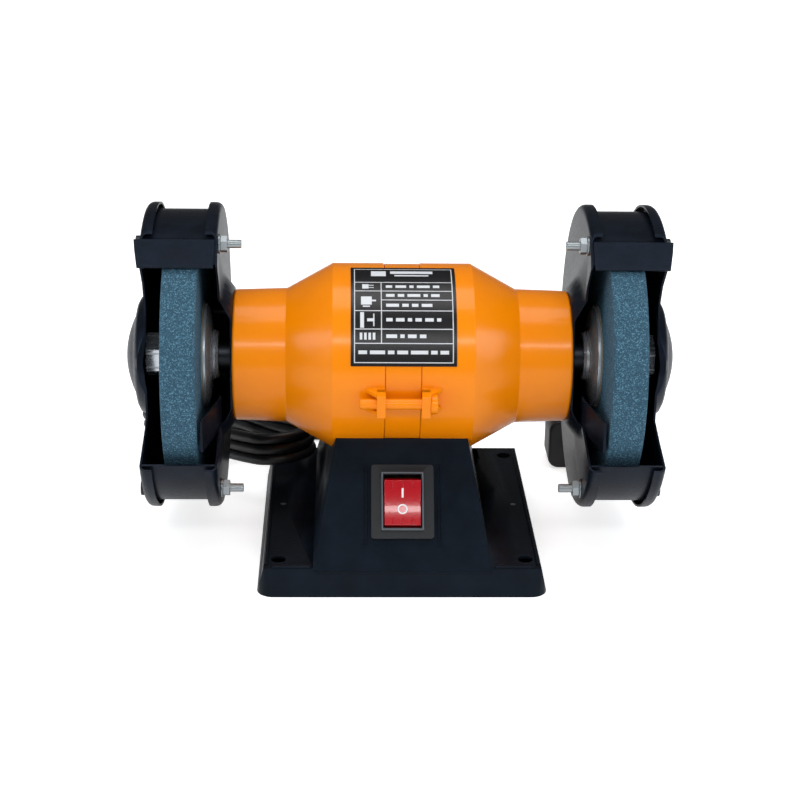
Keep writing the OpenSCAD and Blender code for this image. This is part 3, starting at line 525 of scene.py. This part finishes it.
def bell_shell(form, side):
    """One turned bell: cylinder, cone and neck, closed at the neck's end round the shaft."""
    mouth, floor_x, inner_r = BAND_HALF + SEAM, NECK_X - NECK_WALL, NECK_R - 2.75
    outline = [(mouth, BELL_BORE_R), (mouth, MOTOR_R - 0.5), (BAND_HALF + 0.6, MOTOR_R)]
    outline += [(CONE_START_X, MOTOR_R), (CONE_END_X, CONE_END_R)]
    outline += [(NECK_X - 0.8, NECK_R), (NECK_X, NECK_R - 0.75)]
    outline += [(NECK_X, SHAFT_HOLE_R), (floor_x, SHAFT_HOLE_R), (floor_x, inner_r)]
    outline += [(CONE_END_X - 1, inner_r), (CONE_START_X - 1, BELL_BORE_R)]
    spots = [form.verts.new((side * x * MM, 0, (AXIS_Z + r) * MM)) for x, r in outline]
    edges = [form.edges.new(pair) for pair in zip(spots, spots[1:] + spots[:1])]
    bmesh.ops.spin(form, geom=spots + edges, cent=(0, 0, AXIS_Z * MM), axis=(1, 0, 0),
                   angle=2 * pi, steps=144, use_merge=True)


def bell_lug(form, side, angle):
    """A lug for the through bolt, with a web at its top and bottom that narrows into the bell."""
    place = Matrix.Translation((0, 0, AXIS_Z)) @ Matrix.Rotation(-radians(angle), 4, "X")
    x = side * (BAND_HALF + 0.1 + LUG_W / 2)
    bar(form, place, x, -BOLT_R, 0, LUG_W, LUG_DEPTH, LUG_H)
    bar(form, place, x, -BOLT_R + 3, 0, LUG_W, 5, LUG_H)
    for z in (-1, 1):
        web = bmesh.ops.create_cube(form, size=1)["verts"]
        for v in web:
            out = v.co.x * side > 0
            v.co.x = side * (BAND_HALF + LUG_W + (WEB_RUN if out else -0.3))
            v.co.y = -MOTOR_R + 1.5 if v.co.y > 0 else -(MOTOR_R + (0.1 if out else 6.4))
            v.co.z = z * (LUG_H - WEB_T) / 2 + v.co.z * WEB_T
        bmesh.ops.transform(form, matrix=Matrix.Scale(MM, 4) @ place, verts=web)


def end_bells():
    """The left and right castings, each with a lug at the front and one at the rear."""
    for node, side in (("end_bell_left", -1), ("end_bell_right", 1)):
        form = bmesh.new()
        bell_shell(form, side)
        for angle in (BOLT_ANGLE, 180 - BOLT_ANGLE):
            bell_lug(form, side, angle)
        bmesh.ops.recalc_face_normals(form, faces=form.faces)
        mesh = bpy.data.meshes.new(node + "_casting")
        form.to_mesh(mesh)
        form.free()
        mesh.shade_smooth()
        mesh.set_sharp_from_angle(angle=radians(SHARP_CAST))
        bell = piece(node + "_casting", mesh, ORANGE, "machine", "orange_paint", node)
        soften(bell, 0.5)
        bell.modifiers["rounded_edges"].angle_limit = radians(SHARP_CAST)


# ---- Nameplate print ----

LABEL_HALF = span("nameplate")[1][0]
PRINT_R = MOTOR_R + 0.4
RULE = 0.45


def print_patch(form, x0, x1, a0, a1):
    """A printed patch on the plate, from x0 to x1 and from angle a0 to a1 above the front."""
    low = radians(a0)
    spots = [form.verts.new((x * MM, -PRINT_R * cos(low) * MM, (AXIS_Z + PRINT_R * sin(low)) * MM))
             for x in (x0, x1)]
    edge = form.edges.new(spots)
    steps = max(1, round((a1 - a0) / 3))
    bmesh.ops.spin(form, geom=spots + [edge], cent=(0, 0, AXIS_Z * MM), axis=(1, 0, 0),
                   angle=-radians(a1 - a0), steps=steps)


def degrees_of(mm):
    """The angle that a length takes up round the printed face."""
    return mm / PRINT_R * 180 / pi


def plate_print():
    """Generic rules, bars and pictograms: a frame, a header, five rows and a footer."""
    form = bmesh.new()
    half, top, low = LABEL_HALF - 1.5, 84.3, 15.5
    rule = degrees_of(RULE)
    rows = [top - (top - low) * t for t in (0, 0.22, 0.33, 0.43, 0.54, 0.71, 0.835, 1)]
    split = -half + 0.27 * 2 * half
    for i, a in enumerate(rows):
        print_patch(form, split if i == 3 else -half, half, a - rule, a)
    for x in (-half, half - RULE):
        print_patch(form, x, x + RULE, low, top)
    print_patch(form, split, split + RULE, rows[6], rows[1])
    # Header bars.
    print_patch(form, -half + 8, -half + 15, rows[0] - 9, rows[0] - 3)
    print_patch(form, -half + 17, half - 9, rows[0] - 6.2, rows[0] - 3)
    print_patch(form, -half + 19, half - 11, rows[0] - 9, rows[0] - 7.6)
    # Rows of short bars in the right-hand cells.
    widths = ((3, 5, 2, 6, 3), (4, 3, 6, 2, 4), (6, 3, 3, 5), (3, 4, 2, 3, 4, 2), (5, 2, 4, 3))
    for row, bars in zip(range(1, 6), widths):
        x = split + 2.4
        middle = (rows[row] + rows[row + 1] - rule) / 2
        for width in bars:
            print_patch(form, x, x + width, middle - 1.1, middle + 1.1)
            x += width + 1.5
    x = -half + 2
    for width in (4, 7, 3, 5, 8, 3, 4):
        middle = (rows[6] + rows[7]) / 2
        print_patch(form, x, x + width, middle - 1.0, middle + 1.2)
        x += width + 1.3
    # Pictograms in the left-hand cells: a plug, a motor and a wheel, in plain blocks.
    centre = (-half + split) / 2
    plug = (rows[1] + rows[2]) / 2
    print_patch(form, centre - 2.4, centre + 0.6, plug - 2.1, plug + 1.7)
    print_patch(form, centre + 0.6, centre + 3, plug - 1.5, plug - 0.9)
    print_patch(form, centre + 0.6, centre + 3, plug + 0.5, plug + 1.1)
    motor = (rows[2] + rows[4]) / 2
    print_patch(form, centre - 3, centre + 2, motor - 3.4, motor + 2.6)
    print_patch(form, centre + 2, centre + 4, motor - 1, motor + 0.2)
    print_patch(form, centre - 2.2, centre + 1.2, motor - 5, motor - 4)
    wheel = (rows[4] + rows[5]) / 2
    print_patch(form, centre - 3.4, centre - 1.6, wheel - 5.4, wheel + 4.6)
    print_patch(form, centre - 0.2, centre + 3.2, wheel - 1.4, wheel + 0.6)
    print_patch(form, centre + 2.6, centre + 3.2, wheel - 4.4, wheel + 3.6)
    last = (rows[5] + rows[6]) / 2
    for k in (-3, -1, 1, 3):
        print_patch(form, centre + k - 0.6, centre + k + 0.6, last - 2.4, last + 1.8)
    bmesh.ops.recalc_face_normals(form, faces=form.faces)
    mesh = bpy.data.meshes.new("nameplate_print")
    form.to_mesh(mesh)
    form.free()
    obj = piece("nameplate_print", mesh, INK, "machine", "label_foil")
    wall = obj.modifiers.new("ink", "SOLIDIFY")
    wall.thickness = 0.05 * MM
    wall.offset = 0


end_bells()
plate_print()


# ---- Rocker marks ----

SWITCH_TILT = radians(50.604)
SWITCH_AT = Vector((0, -52.904, 38.468))
PIVOT_DEPTH = -2.2
ROCKER_LEAN = radians(10)


def on_rocker():
    """The rocker's own frame: +Y up its face and +Z out of it."""
    return (Matrix.Translation(SWITCH_AT) @ Matrix.Rotation(SWITCH_TILT, 4, "X")
            @ Matrix.Translation((0, 0, PIVOT_DEPTH)) @ Matrix.Rotation(ROCKER_LEAN, 4, "X"))


def rocker_face_z(y):
    """The height of the rocker's dished face at a place up its length."""
    return 5.6 + 1.4 * abs(y) / 8.7


def rocker_block(form, x, y, w, h, thick):
    """A small block on the rocker's face."""
    slope = atan2(1.4 * (1 if y > 0 else -1), 8.7)
    place = (Matrix.Scale(MM, 4) @ on_rocker() @ Matrix.Translation((x, y, rocker_face_z(y)))
             @ Matrix.Rotation(slope, 4, "X") @ Matrix.Diagonal((w, h, thick, 1)))
    bmesh.ops.create_cube(form, size=1, matrix=place)


def rocker_marks():
    """The raised off ring, the on bar and three grip ribs at each end."""
    marks = bmesh.new()
    rocker_block(marks, 0, 4.7, 0.9, 4.4, 0.3)
    ring_at = (Matrix.Scale(MM, 4) @ on_rocker() @ Matrix.Translation((0, -2.9, rocker_face_z(-2.9)))
               @ Matrix.Rotation(atan2(-1.4, 8.7), 4, "X"))
    rims = [bmesh.ops.create_circle(marks, segments=40, radius=r, matrix=ring_at)["verts"]
            for r in (2.4, 1.7)]
    edges = {e for rim in rims for v in rim for e in v.link_edges}
    walls = bmesh.ops.bridge_loops(marks, edges=list(edges))
    bmesh.ops.solidify(marks, geom=walls["faces"], thickness=0.15 * MM)
    bmesh.ops.recalc_face_normals(marks, faces=marks.faces)
    mesh = bpy.data.meshes.new("rocker_marks")
    marks.to_mesh(mesh)
    marks.free()
    piece("rocker_marks", mesh, WHITE_INK, "rocker", "red_rocker")

    ribs = bmesh.new()
    for x in (-4.6, 0, 4.6):
        for y in (-8.4, 8.4):
            rocker_block(ribs, x, y, 0.9, 2.6, 0.7)
    mesh = bpy.data.meshes.new("rocker_ribs")
    ribs.to_mesh(mesh)
    ribs.free()
    soften(piece("rocker_ribs", mesh, RED, "rocker", "red_rocker"), 0.2)


rocker_marks()


# ---- Pressed beads and trims ----

FOOT_LOW, FOOT_HIGH = span("base_pedestal")
FLANGE_Z = 14
FLARE_X, FLARE_Y = 3.2, 1.4
TOWER_HALF_W = 42.6
CORNER = 4


def made(name, form, material, body, slot, edge_mm, segments=2):
    """A pressed or moulded trim, from a form that is used up."""
    mesh = bpy.data.meshes.new(name)
    form.to_mesh(mesh)
    form.free()
    mesh.shade_smooth()
    mesh.set_sharp_from_angle(angle=radians(SHARP_PRESSED))
    obj = piece(name, mesh, material, body, slot)
    soften(obj, edge_mm, segments)
    return obj


def foot_beads():
    """A rolled bead along the front and the sides of both flanges of the foot."""
    form = bmesh.new()
    level = Matrix.Identity(4)
    edge_x, edge_y = FOOT_HIGH[0] - FLARE_X, -FOOT_LOW[1] - FLARE_Y
    for side in (-1, 1):
        middle, run = (TOWER_HALF_W + edge_x - CORNER) / 2, edge_x - CORNER - TOWER_HALF_W
        bar(form, level, side * middle, -edge_y + 1.5, FLANGE_Z + 0.3, run, 2.4, 1.8)
        bar(form, level, side * (edge_x - 1.2), 0, FLANGE_Z + 0.2, 1.8, 2 * (edge_y - CORNER), 1.6)
    made("foot_beads", form, SLATE, "machine", "slate_paint", 0.6, 3)


def switch_trims():
    """The pressed grooves' lips beside the switch."""
    form = bmesh.new()
    place = Matrix.Translation(SWITCH_AT) @ Matrix.Rotation(SWITCH_TILT, 4, "X")
    for x in (-16.6, -18, 16.6, 18):
        bar(form, place, x, -1.4, 0.05, 0.6, 40, 0.7)
    made("switch_trims", form, SLATE, "machine", "slate_paint", 0.2)


def rocker_frame():
    """A thin grey frame inside the bezel, round the rocker's well."""
    form = bmesh.new()
    place = Matrix.Translation(SWITCH_AT) @ Matrix.Rotation(SWITCH_TILT, 4, "X")
    pin_length, clearance = 1.6, 1.0
    half_w = span("switch_rocker")[1][0] - pin_length + clearance
    half_h = 13.6
    for side in (-1, 1):
        bar(form, place, side * half_w, 0, 3.6, 0.7, 2 * half_h, 0.5)
        bar(form, place, 0, side * half_h, 3.6, 2 * half_w + 0.7, 0.7, 0.5)
    made("rocker_frame", form, FRAME_GREY, "machine", "switch_plastic", 0.15)


foot_beads()
switch_trims()
rocker_frame()


# ---- Floor and light ----

def floor():
    """The plain bench top under the machine."""
    form = bmesh.new()
    bmesh.ops.create_grid(form, x_segments=1, y_segments=1, size=6)
    mesh = bpy.data.meshes.new("floor")
    form.to_mesh(mesh)
    form.free()
    mesh.materials.append(bench_floor())
    obj = bpy.data.objects.new("floor", mesh)
    bpy.context.scene.collection.objects.link(obj)


COOL = (0.74, 0.87, 1)


def softbox(name, at, target, width, depth, power, tone=(1, 1, 1)):
    """A rectangular soft light of one tone that faces a point."""
    data = bpy.data.lights.new(name, "AREA")
    data.shape = "RECTANGLE"
    data.size = width
    data.size_y = depth
    data.energy = power
    data.color = tone
    light = bpy.data.objects.new(name, data)
    light.matrix_world = (Matrix.Translation(at)
                          @ (Vector(target) - Vector(at)).to_track_quat("-Z", "Y").to_matrix().to_4x4())
    bpy.context.scene.collection.objects.link(light)


def room_light():
    """An even pale room, dimmed where a glossy face mirrors it, with four soft boxes."""
    world = bpy.data.worlds.new("pale_room")
    world.use_nodes = True
    tree = world.node_tree
    glossy = add(tree, "ShaderNodeLightPath").outputs["Is Glossy Ray"]
    dimmed = add(tree, "ShaderNodeMapRange", [("Value", glossy), ("To Min", 0.5), ("To Max", 0.1)])
    tree.nodes["Background"].inputs["Color"].default_value = (1, 1, 1, 1)
    tree.links.new(dimmed.outputs["Result"], tree.nodes["Background"].inputs["Strength"])
    bpy.context.scene.world = world
    softbox("top_box", (0, 0.1, 1.5), (0, 0, 0.08), 1.3, 0.8, 8)
    softbox("strip_box", (0, -1.5, 1.22), (0, 0, 0.1), 2.4, 0.16, 12)
    softbox("right_box", (1.5, -0.5, 0.5), (0, 0, 0.1), 0.5, 0.9, 6, COOL)
    softbox("left_box", (-1.5, -0.5, 0.5), (0, 0, 0.1), 0.5, 0.9, 6, COOL)
    bpy.context.scene.view_settings.view_transform = "Standard"


floor()
room_light()
